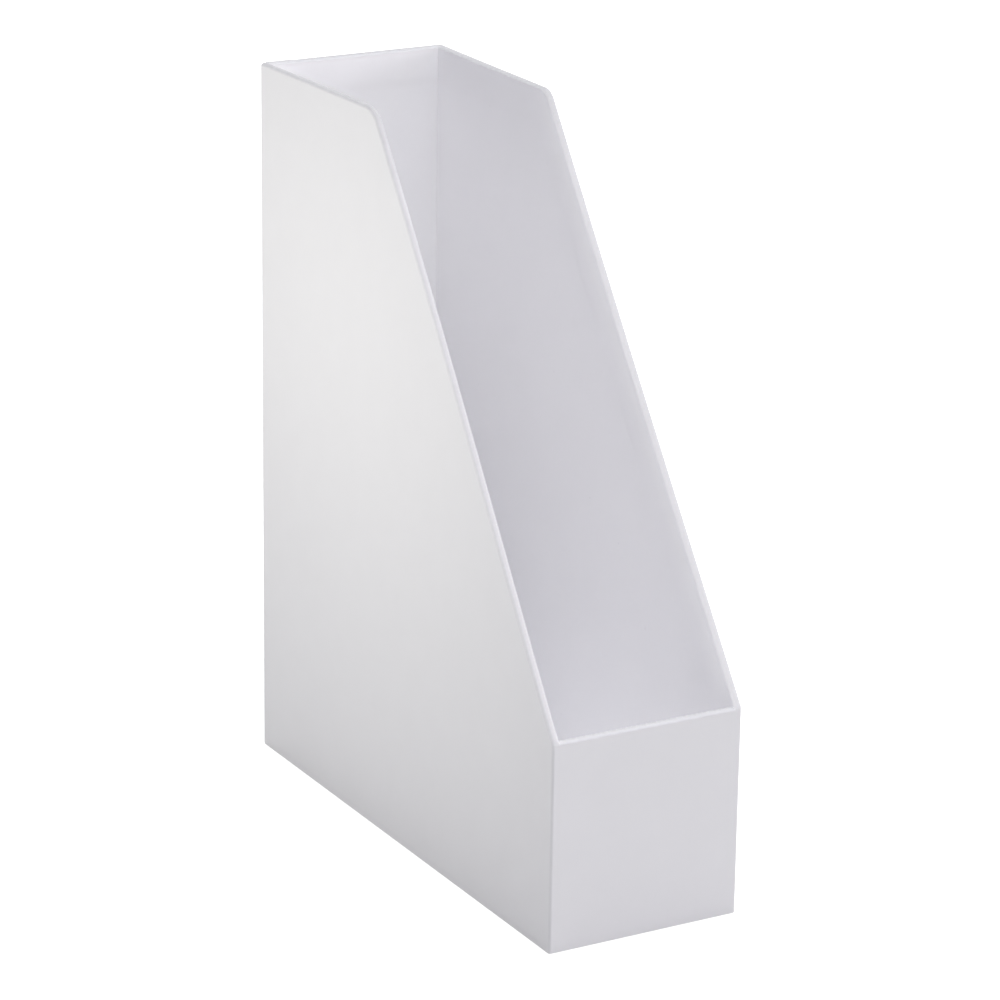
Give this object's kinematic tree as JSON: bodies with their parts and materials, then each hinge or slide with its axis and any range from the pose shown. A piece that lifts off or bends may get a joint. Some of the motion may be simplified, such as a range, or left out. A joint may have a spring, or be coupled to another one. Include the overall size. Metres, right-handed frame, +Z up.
{
  "type": "magazine file holder",
  "caption": "Open upright box with a tall back, a low front lip and a slanted mouth between them, for standing magazines and folders on a shelf or desk.",
  "frame": {"origin": "on the ground under the middle of the box", "axes": "+Z up, -Y towards the low front lip, +Y towards the tall back, +X to the right when the lip is seen from in front"},
  "size_m": [0.089, 0.259, 0.315],
  "materials": {
    "greyboard": "matte",
    "kraft_tape": "matte",
    "cover_paper": "satin",
    "lining_paper": "matte",
    "base_sheet": "matte"
  },
  "bodies": {
    "root": {"left_side_board": "greyboard", "right_side_board": "greyboard", "back_board": "greyboard", "front_board": "greyboard", "base_board": "greyboard", "front_left_stay": "kraft_tape", "front_right_stay": "kraft_tape", "back_left_stay": "kraft_tape", "back_right_stay": "kraft_tape", "left_base_stay": "kraft_tape", "right_base_stay": "kraft_tape", "front_base_stay": "kraft_tape", "back_base_stay": "kraft_tape", "outer_wrap": "cover_paper", "left_lining": "lining_paper", "right_lining": "lining_paper", "back_lining": "lining_paper", "front_lining": "lining_paper", "base_lining": "lining_paper", "base_cover": "base_sheet"}
  },
  "joints": []
}
